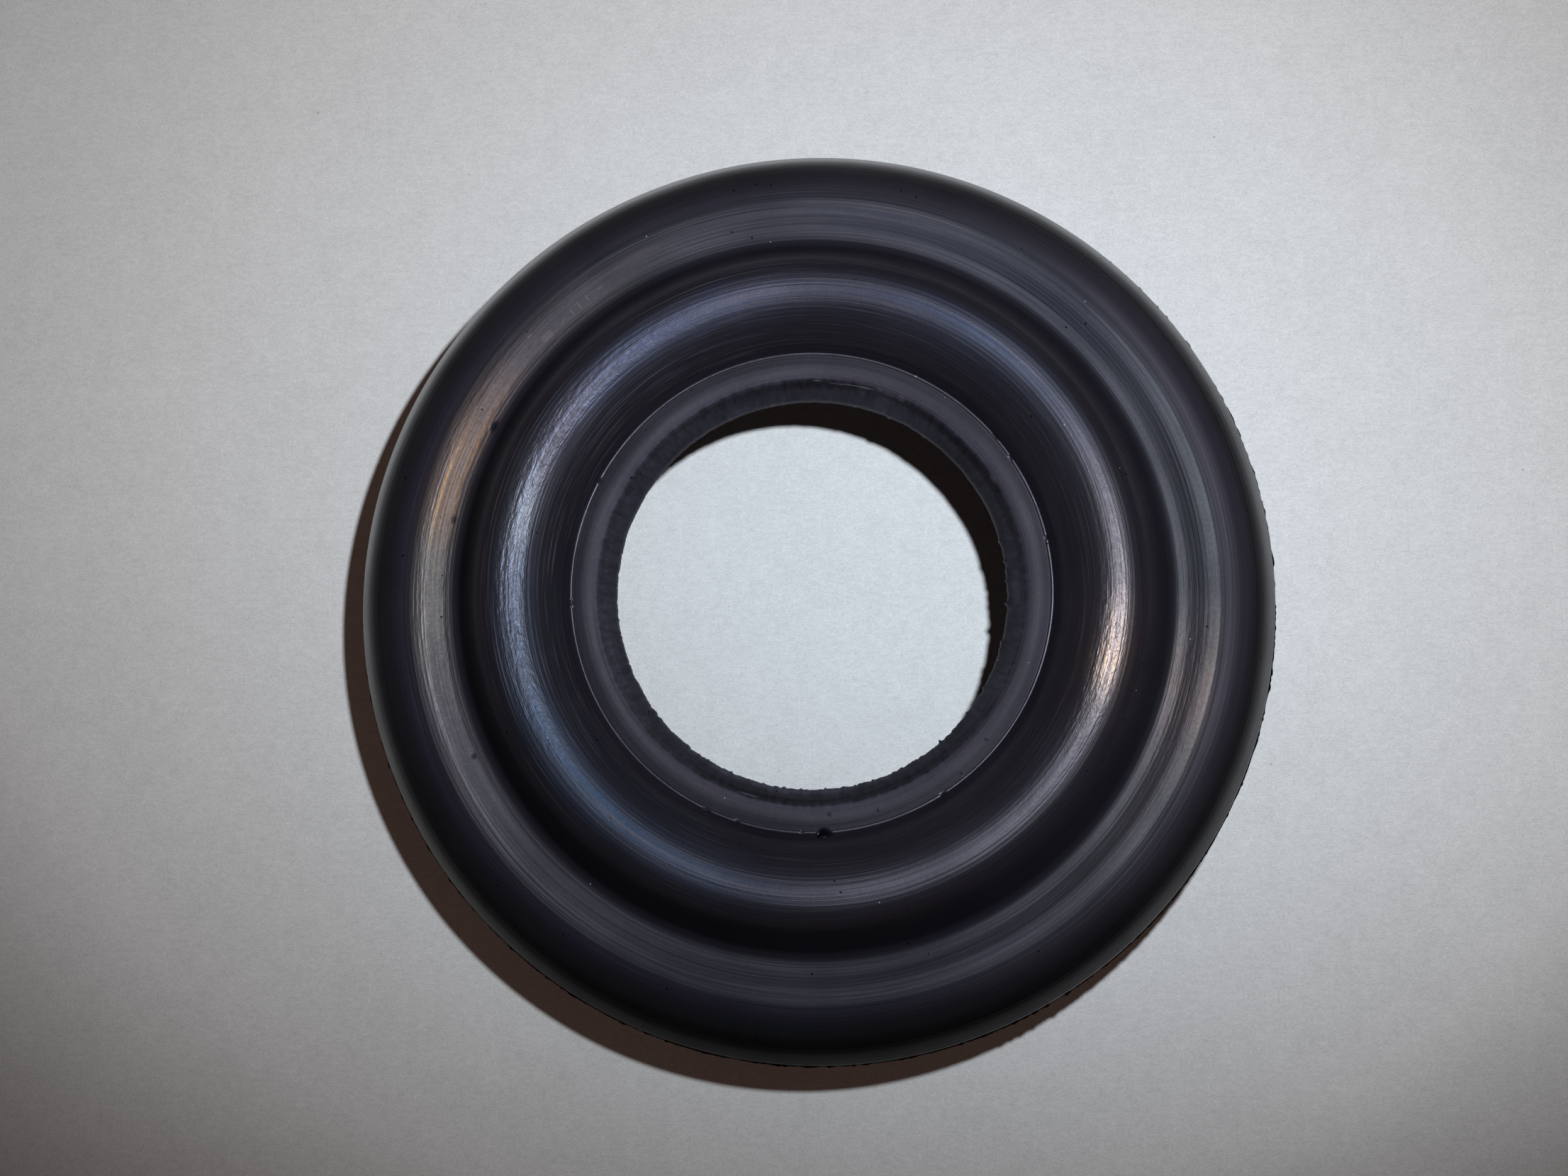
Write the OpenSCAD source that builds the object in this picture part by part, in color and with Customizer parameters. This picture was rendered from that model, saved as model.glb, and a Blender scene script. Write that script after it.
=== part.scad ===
// Convoluted rubber grommet: one moulded ring with a stepped, domed top, a
// crowned lip round the bore, a hollow underside and a flat foot.
// Millimetres, +Z up.
// The origin is the centre of the flat foot, on the axis of the ring.
// Everything is one section, made of straight runs and tangent arcs, turned
// once round the Z axis.

/* [Overall] */
// Largest diameter, over the thin flash of the mould's parting line
outer_d = 108.0; // [107.8:0.1:108.4]
// Height of the crest above the foot
total_h = 28.8; // [28.4:0.1:29.2]
// Even wall of the moulding
wall = 3.2; // [3:0.1:3.4]

/* [Bore and lip] */
// Diameter of the bore, at the edge of the thin web
bore_d = 44.8; // [42:0.2:45.4]
// Thickness of the web at the bore
web_t = 1.4; // [1:0.1:1.8]
// Height of the top of the web above the foot
web_z = 19.8; // [19.4:0.1:20.2]
// Diameter at the foot of the lip's inner wall
lip_in_d = 47.2; // [46.8:0.1:47.6]
// Height of the witness line where the inner slope meets the lip
lip_z = 23.0; // [22.7:0.1:23.2]
// How far the crown of the lip rises above that line
lip_crown = 0.15; // [0.1:0.05:0.25]
// Width of the fine raised witness line
witness_w = 0.27; // [0.2:0.01:0.35]
// Height of the fine raised witness line
witness_h = 0.06; // [0.04:0.01:0.1]

/* [Crest] */
// Diameter of the circle along the top of the crest
crest_d = 68.6; // [68.2:0.1:69]
// Rounding of the crest on its inner side
crest_r_in = 7.0; // [6.4:0.1:7.2]
// Rounding of the crest on its outer side
crest_r_out = 3.2; // [2.6:0.2:3.6]
// Steepness of the inner slope, in degrees from level
inner_slope = 66; // [64:1:68]
// Steepness of the outer riser, in degrees from level
riser_slope = 62; // [60:1:66]

/* [Tread] */
// Height of the valley at the foot of the riser
tread_in_z = 21.1; // [20.8:0.1:21.4]
// Diameter at the outer edge of the tread
tread_out_d = 91.2; // [90.6:0.1:91.3]
// Height of the outer edge of the tread
tread_out_z = 22.4; // [22.2:0.05:22.6]

/* [Rim] */
// Height of the parting line above the foot
part_z = 14.0; // [13.8:0.1:14.2]
// Steepness of the flank above the parting line, in degrees from level
flank_slope = 60; // [59:0.5:61]
// Fall of the shoulder just outside the tread, in degrees from level
shoulder_slope = 3; // [2:0.5:5]
// Rounding between the shoulder and the flank
shoulder_r = 6.8; // [5.6:0.1:6.8]
// How far inside the rim the flank turns steep
brow_w = 0.45; // [0.35:0.05:0.55]
// Height above the parting line where it does
brow_h = 1.9; // [1.7:0.1:2.1]
// How far the flash stands out at the parting line
flash_w = 0.25; // [0.15:0.05:0.35]
// Thickness of the flash at the parting line
flash_t = 0.3; // [0.2:0.05:0.5]

/* [Foot] */
// Outer diameter of the skirt at the foot
foot_d = 103.4; // [103:0.1:104]
// Inner diameter of the flat foot ring
foot_in_d = 92.4; // [90:0.2:93]
// Thickness of the foot ring
foot_t = 3.0; // [2.4:0.2:3.6]

/* [Hidden] */
RUBBER = [0.07, 0.07, 0.085];
// One straight step for each 6 degrees of an arc in the section
ARC_STEP = 6;
$fn = 96;

bore_r = bore_d / 2;
rim_r = outer_d / 2 - flash_w;
crest_r = crest_d / 2;
tread_out_r = tread_out_d / 2;
foot_r = foot_d / 2;
lip_in_r = lip_in_d / 2;

// Top side: corners of the inner slope and of the riser
slope_top_r = crest_r - 0.1 - crest_r_in * tan(inner_slope / 2);
lip_r = slope_top_r - (total_h - lip_z) / tan(inner_slope);
riser_top_r = crest_r + 0.1 + crest_r_out * tan(riser_slope / 2);
riser_foot_r = riser_top_r + (total_h - tread_in_z) / tan(riser_slope);
tread_w = tread_out_r - riser_foot_r;
tread_rise = tread_out_z - tread_in_z;

// Radius at which a line falling at angle s from p crosses one falling at
// angle f to q, and the height there
function cross_r(p, s, q, f) =
    (p[1] + tan(s) * p[0] - q[1] - tan(f) * q[0]) / (tan(s) - tan(f));
function cross_z(r, q, f) = q[1] + tan(f) * (q[0] - r);

edge_p = [tread_out_r, tread_out_z];
brow_p = [rim_r - brow_w, part_z + brow_h];
shoulder_cr = cross_r(edge_p, shoulder_slope, brow_p, flank_slope);
shoulder_cz = cross_z(shoulder_cr, brow_p, flank_slope);

// Underside: the same lines, one wall thickness further in
function slope_back(z) =
    lip_r + wall * sin(inner_slope)
    + (z - lip_z + wall * cos(inner_slope)) / tan(inner_slope);
function riser_back(z) =
    riser_foot_r - wall * sin(riser_slope)
    - (z - tread_in_z + wall * cos(riser_slope)) / tan(riser_slope);
edge_b = [tread_out_r - wall * sin(shoulder_slope),
          tread_out_z - wall * cos(shoulder_slope)];
rim_b = [brow_p[0] - wall * sin(flank_slope),
         brow_p[1] - wall * cos(flank_slope)];
shoulder_br = cross_r(edge_b, shoulder_slope, rim_b, flank_slope);
shoulder_bz = cross_z(shoulder_br, rim_b, flank_slope);
skirt_in_r = foot_r - wall;
skirt_top_r = skirt_in_r + 0.4;
skirt_top_z = cross_z(skirt_top_r, rim_b, flank_slope);

// Corners of the section, each [radius, height, rounding]
SECTION = [
    // thin web at the bore
    [bore_r, web_z - web_t, 0],
    [bore_r, web_z, 0],
    // sloping inner wall of the lip, and its crown
    [lip_in_r, lip_z - 1.6, 0.8],
    [lip_in_r + 0.45, lip_z - 0.35, 1.2],
    [lip_r - 1.7, lip_z + lip_crown, 2.4],
    // fine raised witness line where the lip meets the slope
    [lip_r - witness_w, lip_z - 0.05, 0],
    [lip_r - 0.5 * witness_w, lip_z + 0.8 * witness_h, 0],
    [lip_r, lip_z + 0.9 * witness_h, 0],
    [lip_r + 0.05, lip_z + 0.05 * tan(inner_slope), 0],
    // inner slope, crest and riser
    [slope_top_r, total_h, crest_r_in],
    [riser_top_r, total_h, crest_r_out],
    [riser_foot_r, tread_in_z, 1.2],
    // tread, rising outwards in a soft double curve
    [riser_foot_r + 0.34 * tread_w, tread_in_z + 0.21 * tread_rise, 5],
    [riser_foot_r + 0.72 * tread_w, tread_in_z + 0.80 * tread_rise, 5],
    [tread_out_r, tread_out_z, 2],
    // shoulder and flank, down to the parting line
    [shoulder_cr, shoulder_cz, shoulder_r],
    [brow_p[0], brow_p[1], 2],
    [rim_r, part_z + flash_t / 2, 0],
    [outer_d / 2, part_z + flash_t / 6, 0],
    [outer_d / 2, part_z - flash_t / 6, 0],
    [rim_r, part_z - flash_t / 2, 0],
    // skirt and flat foot
    [foot_r + 0.6, part_z - 2.4, 2],
    [foot_r, 0, 0.8],
    [foot_in_d / 2, 0, 0.4],
    [foot_in_d / 2, foot_t, 0.6],
    [skirt_in_r, foot_t, 1.2],
    // underside, with an even wall
    [skirt_top_r, skirt_top_z, 1.2],
    [shoulder_br, shoulder_bz, 2.6],
    [edge_b[0], edge_b[1], 2],
    [riser_back(tread_in_z - wall), tread_in_z - wall, 3],
    [riser_back(total_h - wall), total_h - wall, 1.0],
    [slope_back(total_h - wall), total_h - wall, 1.0],
    [slope_back(lip_z - wall), lip_z - wall, 1.5],
];

// Points that round the corner at b, between a and c, with an arc of radius r
function xy(p) = [p[0], p[1]];
function unit(v) = v / norm(v);
function corner(a, b, c, r) =
    r <= 0 ? [b] :
    let (u = unit(a - b),
         v = unit(c - b),
         half = acos(max(-1, min(1, u * v))) / 2,
         o = b + unit(u + v) * r / sin(half),
         p = b + u * r / tan(half) - o,
         q = b + v * r / tan(half) - o,
         a0 = atan2(p[1], p[0]),
         turn = (atan2(q[1], q[0]) - a0 + 540) % 360 - 180,
         n = max(2, ceil(abs(turn) / ARC_STEP)))
    [for (i = [0 : n]) o + r * [cos(a0 + turn * i / n), sin(a0 + turn * i / n)]];
function rounded(s) =
    let (k = len(s))
    [for (i = [0 : k - 1])
        each corner(xy(s[(i + k - 1) % k]), xy(s[i]), xy(s[(i + 1) % k]), s[i][2])];

module grommet() {
    color(RUBBER)
        rotate_extrude()
            polygon(rounded(SECTION));
}

grommet();
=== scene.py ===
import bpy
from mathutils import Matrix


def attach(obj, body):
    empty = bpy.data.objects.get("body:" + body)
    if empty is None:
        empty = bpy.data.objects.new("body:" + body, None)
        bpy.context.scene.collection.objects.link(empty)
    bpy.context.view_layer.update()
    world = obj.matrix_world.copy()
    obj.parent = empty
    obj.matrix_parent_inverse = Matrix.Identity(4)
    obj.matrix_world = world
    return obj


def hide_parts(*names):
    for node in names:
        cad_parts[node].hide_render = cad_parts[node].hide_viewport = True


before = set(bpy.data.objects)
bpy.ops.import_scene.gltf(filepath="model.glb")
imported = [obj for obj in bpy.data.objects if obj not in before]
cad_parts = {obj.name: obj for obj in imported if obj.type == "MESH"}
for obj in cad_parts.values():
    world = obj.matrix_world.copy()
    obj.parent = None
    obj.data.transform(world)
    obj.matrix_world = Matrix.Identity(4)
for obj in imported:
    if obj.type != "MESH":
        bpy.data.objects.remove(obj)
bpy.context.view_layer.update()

import math

import bpy
import numpy as np
from mathutils import Matrix, Vector

MM = 0.001
rng = np.random.default_rng(7)
scene = bpy.context.scene
scene.view_settings.view_transform = "Standard"
scene.view_settings.look = "None"

# ---------------------------------------------------------------- section (mm)
# The same straight runs and arcs as part.scad, with the small things the
# moulding shows added: the witness line of the lip and the torn edges.
OUTER_D, TOTAL_H, WALL = 108.0, 28.8, 3.2
BORE_D, WEB_T, WEB_Z, LIP_IN_D, LIP_Z, LIP_CROWN = 44.8, 1.4, 19.8, 47.2, 23.0, 0.15
CREST_D, CREST_IN, CREST_OUT, INNER_SLOPE, RISER_SLOPE = 68.6, 7.0, 3.2, 66.0, 62.0
TREAD_IN_Z, TREAD_OUT_D, TREAD_OUT_Z = 21.1, 91.2, 22.4
PART_Z, FLANK_SLOPE, SHOULDER_SLOPE, SHOULDER_R, FLASH_W, FLASH_T = 14.0, 60.0, 3.0, 6.8, 0.25, 0.3
BROW_W, BROW_H = 0.45, 1.9
FOOT_D, FOOT_IN_D, FOOT_T = 103.4, 92.4, 3.0


def tan(d):
    return math.tan(math.radians(d))


def sin(d):
    return math.sin(math.radians(d))


def cos(d):
    return math.cos(math.radians(d))


bore_r, rim_r, crest_r = BORE_D / 2, OUTER_D / 2 - FLASH_W, CREST_D / 2
tread_out_r, foot_r, lip_in_r = TREAD_OUT_D / 2, FOOT_D / 2, LIP_IN_D / 2
slope_top_r = crest_r - 0.1 - CREST_IN * tan(INNER_SLOPE / 2)
lip_r = slope_top_r - (TOTAL_H - LIP_Z) / tan(INNER_SLOPE)
riser_top_r = crest_r + 0.1 + CREST_OUT * tan(RISER_SLOPE / 2)
riser_foot_r = riser_top_r + (TOTAL_H - TREAD_IN_Z) / tan(RISER_SLOPE)
tread_w, tread_rise = tread_out_r - riser_foot_r, TREAD_OUT_Z - TREAD_IN_Z


def cross(p, s, q, f):
    r = (p[1] + tan(s) * p[0] - q[1] - tan(f) * q[0]) / (tan(s) - tan(f))
    return r, q[1] + tan(f) * (q[0] - r)


brow = (rim_r - BROW_W, PART_Z + BROW_H)
shoulder = cross((tread_out_r, TREAD_OUT_Z), SHOULDER_SLOPE, brow, FLANK_SLOPE)
edge_b = (tread_out_r - WALL * sin(SHOULDER_SLOPE), TREAD_OUT_Z - WALL * cos(SHOULDER_SLOPE))
rim_b = (brow[0] - WALL * sin(FLANK_SLOPE), brow[1] - WALL * cos(FLANK_SLOPE))
shoulder_b = cross(edge_b, SHOULDER_SLOPE, rim_b, FLANK_SLOPE)
skirt_in_r = foot_r - WALL
skirt_top = (skirt_in_r + 0.4, rim_b[1] + tan(FLANK_SLOPE) * (rim_b[0] - skirt_in_r - 0.4))


def slope_back(z):
    return lip_r + WALL * sin(INNER_SLOPE) + (z - LIP_Z + WALL * cos(INNER_SLOPE)) / tan(INNER_SLOPE)


def riser_back(z):
    return riser_foot_r - WALL * sin(RISER_SLOPE) - (z - TREAD_IN_Z + WALL * cos(RISER_SLOPE)) / tan(RISER_SLOPE)


# (radius, height, rounding, name of the run that starts there)
SECTION = [
    (bore_r, WEB_Z - WEB_T, 0.0, "bore"),
    (bore_r, WEB_Z, 0.0, "web"),
    (lip_in_r, LIP_Z - 1.6, 0.8, "lip"),
    (lip_in_r + 0.45, LIP_Z - 0.35, 1.2, "lip"),
    (lip_r - 1.7, LIP_Z + LIP_CROWN, 2.4, "lip"),
    (lip_r - 0.27, LIP_Z - 0.05, 0.0, "witness"),
    (lip_r - 0.20, LIP_Z + 0.010, 0.0, "witness"),
    (lip_r - 0.13, LIP_Z + 0.045, 0.0, "witness"),
    (lip_r - 0.06, LIP_Z + 0.055, 0.0, "witness"),
    (lip_r + 0.00, LIP_Z + 0.050, 0.0, "witness"),
    (lip_r + 0.05, LIP_Z + 0.05 * tan(INNER_SLOPE), 0.0, "slope"),
    (slope_top_r, TOTAL_H, CREST_IN, "crest"),
    (riser_top_r, TOTAL_H, CREST_OUT, "riser"),
    (riser_foot_r, TREAD_IN_Z, 1.2, "tread"),
    (riser_foot_r + 0.34 * tread_w, TREAD_IN_Z + 0.21 * tread_rise, 5.0, "tread"),
    (riser_foot_r + 0.72 * tread_w, TREAD_IN_Z + 0.80 * tread_rise, 5.0, "tread"),
    (tread_out_r, TREAD_OUT_Z, 2.0, "shoulder"),
    (shoulder[0], shoulder[1], SHOULDER_R, "flank"),
    (brow[0], brow[1], 2.0, "flank"),
    (rim_r, PART_Z + FLASH_T / 2, 0.0, "flash"),
    (OUTER_D / 2 - 0.07, PART_Z + FLASH_T / 6, 0.0, "flash"),
    (OUTER_D / 2 - 0.07, PART_Z - FLASH_T / 6, 0.0, "flash"),
    (rim_r, PART_Z - FLASH_T / 2, 0.0, "skirt"),
    (foot_r + 0.6, PART_Z - 2.4, 2.0, "skirt"),
    (foot_r, 0.0, 0.8, "foot"),
    (FOOT_IN_D / 2, 0.0, 0.4, "under"),
    (FOOT_IN_D / 2, FOOT_T, 0.6, "under"),
    (skirt_in_r, FOOT_T, 1.2, "under"),
    (skirt_top[0], skirt_top[1], 1.2, "under"),
    (shoulder_b[0], shoulder_b[1], 2.6, "under"),
    (edge_b[0], edge_b[1], 2.0, "under"),
    (riser_back(TREAD_IN_Z - WALL), TREAD_IN_Z - WALL, 3.0, "under"),
    (riser_back(TOTAL_H - WALL), TOTAL_H - WALL, 1.0, "under"),
    (slope_back(TOTAL_H - WALL), TOTAL_H - WALL, 1.0, "under"),
    (slope_back(LIP_Z - WALL), LIP_Z - WALL, 1.5, "under"),
]
SPACING = {"bore": 0.5, "web": 0.3, "lip": 0.32, "witness": 0.22, "slope": 0.5, "crest": 0.5,
           "riser": 0.8, "tread": 0.42, "shoulder": 0.6, "flank": 0.9, "flash": 0.9,
           "skirt": 4.0, "foot": 3.0, "under": 6.0}


def arc(a, b, c, r, fine):
    """Points that round the corner at b with radius r."""
    a, b, c = (np.array(p[:2], float) for p in (a, b, c))
    if r <= 0:
        return [b]
    u, v = (a - b) / np.linalg.norm(a - b), (c - b) / np.linalg.norm(c - b)
    half = math.acos(max(-1, min(1, float(u @ v)))) / 2
    o = b + (u + v) / np.linalg.norm(u + v) * r / math.sin(half)
    p, q = b + u * r / math.tan(half) - o, b + v * r / math.tan(half) - o
    a0 = math.atan2(p[1], p[0])
    turn = (math.atan2(q[1], q[0]) - a0 + 3 * math.pi) % (2 * math.pi) - math.pi
    n = max(3, min(math.ceil(abs(turn) / math.radians(4)), math.ceil(abs(turn) * r / fine)))
    return [o + r * np.array([math.cos(a0 + turn * i / n), math.sin(a0 + turn * i / n)]) for i in range(n + 1)]


rows, run = [], []  # (r, z), name of the run
k = len(SECTION)
for i, corner in enumerate(SECTION):
    before, after = SECTION[i - 1], SECTION[(i + 1) % k]
    pts = arc(before, corner, after, corner[2], min(SPACING[corner[3]], SPACING[before[3]]) * (1.0 if corner[3] != "under" else 0.7))
    for j, p in enumerate(pts):
        name = corner[3] if j >= len(pts) / 2 else before[3]
        if rows:
            gap = np.linalg.norm(p - rows[-1])
            n = int(gap // SPACING[run[-1]]) if j == 0 else 0
            start = rows[-1]
            for m in range(1, n + 1):
                rows.append(start + (p - start) * m / (n + 1))
                run.append(run[-1] if m else name)
        rows.append(p)
        run.append(name)
gap = np.linalg.norm(rows[0] - rows[-1])
n = int(gap // SPACING["under"])
start = rows[-1]
for m in range(1, n + 1):
    rows.append(start + (rows[0] - start) * m / (n + 1))
    run.append("under")
DENSE = [(25.9, 27.8, 0.16), (31.0, 35.0, 0.4), (40.8, 43.0, 0.25), (53.2, 53.8, 0.3)]   # radius from, to, spacing


def dense(rows, run):
    """More rows where small marks sit."""
    s = np.array(rows)[:, 0]
    gaps = np.hypot(*np.diff(np.array(rows), axis=0).T)
    new_rows, new_run = [rows[0]], [run[0]]
    for i in range(1, len(rows)):
        mid, n = (s[i] + s[i - 1]) / 2, 1
        for lo, hi, gap in DENSE:
            if lo < mid < hi and run[i - 1] in ("lip", "witness", "slope", "crest", "tread", "flank"):
                n = max(n, math.ceil(gaps[i - 1] / gap))
        for m in range(1, n + 1):
            new_rows.append(rows[i - 1] + (rows[i] - rows[i - 1]) * m / n)
            new_run.append(run[i] if m == n else run[i - 1])
    return new_rows, new_run


rows, run = dense(rows, run)
run[0] = "bore"                                # the lower edge of the web is torn with the rest
rows = np.array(rows)
closed = np.vstack([rows, rows[:1]])
step = np.hypot(*np.diff(closed, axis=0).T)
i_top = run.index("web")                       # arc length 0 is the top edge of the bore
s_row = np.concatenate([[0], np.cumsum(step[:-1])])
s_row = s_row - s_row[i_top]
# where a row lies along the moulding: the same number at the same radius, whatever the exact curve
PLACES = [(24.3, 3.84), (25.0, 4.6), (26.58, 6.2), (26.99, 6.7), (27.52, 8.0), (28.45, 10.0),
          (29.8, 12.0), (31.51, 14.0), (33.44, 16.0), (34.94, 17.5), (36.3, 19.0), (37.0, 20.0), (39.84, 26.0), (40.6, 27.0),
          (42.37, 28.8), (44.47, 31.0), (45.45, 32.0), (47.35, 34.0), (49.03, 36.0), (50.34, 38.0), (51.43, 40.0),
          (52.5, 42.0), (53.57, 44.0), (53.75, 44.4)]
i_lip = int(np.argmax(rows[:, 0] * (s_row < 10) * (s_row > 0) > 24.3))
place = np.interp(rows[:, 0], [p[0] for p in PLACES], [p[1] for p in PLACES])
low = (s_row >= 0) & (s_row < s_row[i_lip])
place[low] = np.interp(s_row[low], [0, lip_in_r - bore_r, s_row[i_lip]], [0, 0.9, 3.84])
hidden = np.array([name in ("bore", "skirt", "foot", "under") for name in run])
place[np.array([name == "flash" for name in run])] = 44.9
place[hidden] = np.where(s_row[hidden] < 0, -0.5, 46.5)
tangent = np.roll(rows, -1, 0) - np.roll(rows, 1, 0)
tangent /= np.linalg.norm(tangent, axis=1)[:, None]
normal = np.column_stack([-tangent[:, 1], tangent[:, 0]])   # out of the rubber

FINE = 3
fine_row = np.array([name in ("bore", "web", "flash") for name in run])
for i in range(len(run)):                      # the row that closes each fine band is fine too
    if fine_row[i - 1] and run[i - 1] in ("flash",):
        fine_row[i] = True

# ---------------------------------------------------------------- azimuths
# (azimuth in degrees, arc length, size along the ring, size across it, depth; mm)
NICKS = [
    (152.4, 6.66, 0.26, 0.20, 0.14),
    (183.0, 6.66, 0.34, 0.16, 0.09),
    (244.9, 6.80, 0.42, 0.18, 0.14),
    (252.6, 6.75, 0.22, 0.18, 0.12),
    (302.7, 6.72, 0.28, 0.18, 0.14),
    (39.4, 6.85, 0.34, 0.20, 0.16),
    (33.2, 6.75, 0.26, 0.20, 0.12),
    (12.0, 6.72, 0.20, 0.16, 0.08),
    (268.0, 6.6, 0.18, 0.14, 0.08),
    (152.2, 27.9, 0.50, 0.20, 0.22),
    (168.4, 28.4, 0.35, 0.20, 0.03),
    (206.0, 28.8, 0.25, 0.16, 0.06),
    (274.7, 4.6, 0.20, 0.18, 0.09),
    (286.8, 5.3, 0.12, 0.12, 0.08),
    (319.0, 5.3, 0.12, 0.12, 0.08),
    (309.0, 6.1, 0.12, 0.12, 0.08),
]
VENT = (273.2, 7.05, 0.80, 0.72, 0.26)           # the oval ring a vent left, same order
TAGS = [(14.9, 0.20, 0.22), (9.0, 0.16, 0.28), (3.2, 0.20, 0.20), (356.5, 0.16, 0.26), (345.2, 0.18, 0.20), (77.0, 0.16, 0.18),
        (66.0, 0.22, 0.24), (98.0, 0.14, 0.16), (120.0, 0.14, 0.12), (231.0, 0.20, 0.14), (262.0, 0.16, 0.16),
        (267.0, 0.16, 0.18), (288.0, 0.16, 0.14), (310.6, 0.12, 0.34), (238.5, 0.14, 0.12), (246.0, 0.18, 0.14), (256.0, 0.12, 0.12), (274.0, 0.12, 0.14),
        (279.5, 0.14, 0.10), (297.0, 0.16, 0.16), (303.5, 0.20, 0.12), (322.0, 0.16, 0.14), (331.0, 0.18, 0.16), (54.0, 0.18, 0.14)]   # azimuth, width, length of torn tags on the bore edge
base = np.linspace(0, 2 * math.pi, 316, endpoint=False)
extra = [base]
for phi, s0, along, across, depth in NICKS:
    r0 = np.interp(s0, [p[1] for p in PLACES], [p[0] for p in PLACES])
    half = 2.2 * along / r0
    extra.append(np.radians(phi) + np.linspace(-half, half, 7))
r0 = 27.1
extra.append(np.radians(VENT[0]) + np.linspace(-1.35 * VENT[2] / r0, 1.35 * VENT[2] / r0, 23))
azim = np.sort(np.mod(np.concatenate(extra), 2 * math.pi))
azim = azim[np.concatenate([[True], np.diff(azim) > 0.0012])]
A = len(azim)
nxt = np.append(azim[1:], azim[0] + 2 * math.pi)
azim_fine = (azim[:, None] + (nxt - azim)[:, None] * np.arange(FINE)[None, :] / FINE).ravel()


def waves(count, m_lo, m_hi, n_hi, seed):
    """A smooth random field over azimuth (whole waves) and arc length."""
    g = np.random.default_rng(seed)
    m = g.integers(m_lo, m_hi, count)
    w = g.uniform(-n_hi, n_hi, count)
    p = g.uniform(0, 2 * math.pi, count)
    a = g.normal(0, 1, count) / math.sqrt(count)
    return lambda phi, s: sum(a[i] * np.cos(m[i] * phi + w[i] * s + p[i]) for i in range(count))


def ragged(phi, seed, size, power=1.0):
    """Torn edge: random heights about every `size` radians, joined by straight lines."""
    g = np.random.default_rng(seed)
    n = int(2 * math.pi / size)
    knots = np.sort(g.uniform(0, 2 * math.pi, n))
    v = g.random(n) ** power
    return np.interp(phi, knots, v, period=2 * math.pi)


sway = waves(24, 2, 16, 0.25, 11)

def lookup(x, table):
    """Straight-line lookup in a short table of (x, value)."""
    return np.interp(x, [t[0] for t in table], [t[1] for t in table])


def round_lookup(phi, table):
    """The same round the ring, smoothed; the table is (degrees, (r, g, b))."""
    deg = np.degrees(phi) % 360
    keys = np.array([t[0] for t in table], float)
    cols = np.array([t[1] for t in table], float)
    return np.column_stack([np.interp(deg, keys, cols[:, c], period=360) for c in range(3)])


# by arc length: share of the turned sheen, roughness of the rest, and how dusty the skin is
POLISH = [(6.35, 0.0), (6.45, 0.5), (6.95, 0.5), (7.05, 0.05), (10.0, 0.15), (13.0, 0.38), (18.0, 0.38), (19.5, 0.1),
          (26.5, 0.05), (27.4, 0.20), (32.0, 0.20), (34.5, 0.12), (36.0, 0.0)]
ROUGH = [(0.0, 0.62), (6.35, 0.62), (6.45, 0.42), (6.95, 0.42), (7.1, 0.50), (12.0, 0.43), (18.5, 0.43), (20.5, 0.52),
         (26.5, 0.52), (28.0, 0.46), (32.0, 0.46), (33.0, 0.54), (36.0, 0.50), (38.0, 0.36), (40.0, 0.26), (44.6, 0.20)]
DUST = [(0.0, 0.7), (6.35, 0.75), (7.1, 0.60), (13.0, 0.6), (18.0, 0.6), (20.0, 0.55), (23.0, 0.7), (26.0, 0.85), (28.0, 0.7),
        (32.0, 0.7), (33.0, 0.9), (36.0, 0.45), (38.0, 0.15), (44.5, 0.15), (44.8, 0.05)]
GLOSS = [(0.0, 0.75), (3.0, 0.65), (3.3, 0.85), (4.0, 1.0), (4.5, 1.0), (6.2, 0.75), (6.4, 1.0), (6.95, 1.0), (7.2, 0.85), (12.0, 0.75), (13.3, 0.6), (15.0, 0.6),
         (16.2, 0.85), (17.5, 0.95), (19.0, 0.9), (26.0, 0.8), (27.3, 0.62), (28.5, 0.60), (30.5, 0.55), (31.5, 0.65), (32.6, 1.0),
         (35.5, 1.0), (37.5, 0.6), (40.0, 0.5), (42.0, 0.9), (44.4, 1.0), (44.8, 0.10)]
CREST_GLOSS = [(0, 0.86), (20, 0.80), (45, 0.82), (70, 0.86), (90, 0.92), (110, 1.15), (135, 1.1), (150, 0.95), (165, 1.3), (180, 1.0), (200, 1.05), (225, 1.15), (250, 1.0),
               (290, 1.0), (315, 0.86), (330, 0.85), (338, 1.15), (344, 2.0), (350, 1.6)]
TREAD_GLOSS = [(0, 0.78), (20, 1.15), (45, 0.8), (75, 1.05), (110, 1.05), (135, 1.05), (150, 1.05), (165, 2.15), (180, 1.7), (200, 2.3), (225, 1.6), (250, 1.1),
               (315, 1.0), (335, 0.95), (345, 0.85)]     # the outer half of the tread
# painted light and shade on the shoulder: its colour is lighter on the lamp's side (az 320–45) and darker on the far
# side (az 225–290)
SHOULDER_PAINTED_LIGHT = [(0, 2.2), (20, 2.3), (45, 2.0), (70, 1.3), (90, 1.2), (135, 1.0), (180, 0.95), (225, 0.4), (290, 0.4), (320, 1.1), (340, 1.8)]
RIM_GLOSS = [(0, 0.72), (45, 0.85), (90, 1.2), (110, 1.5), (135, 1.6), (150, 1.6), (165, 1.1), (200, 0.62), (225, 0.34), (250, 0.24), (290, 0.32),
             (315, 0.52), (335, 0.62), (345, 0.64)]     # and how worn the rim is, round the ring
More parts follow.
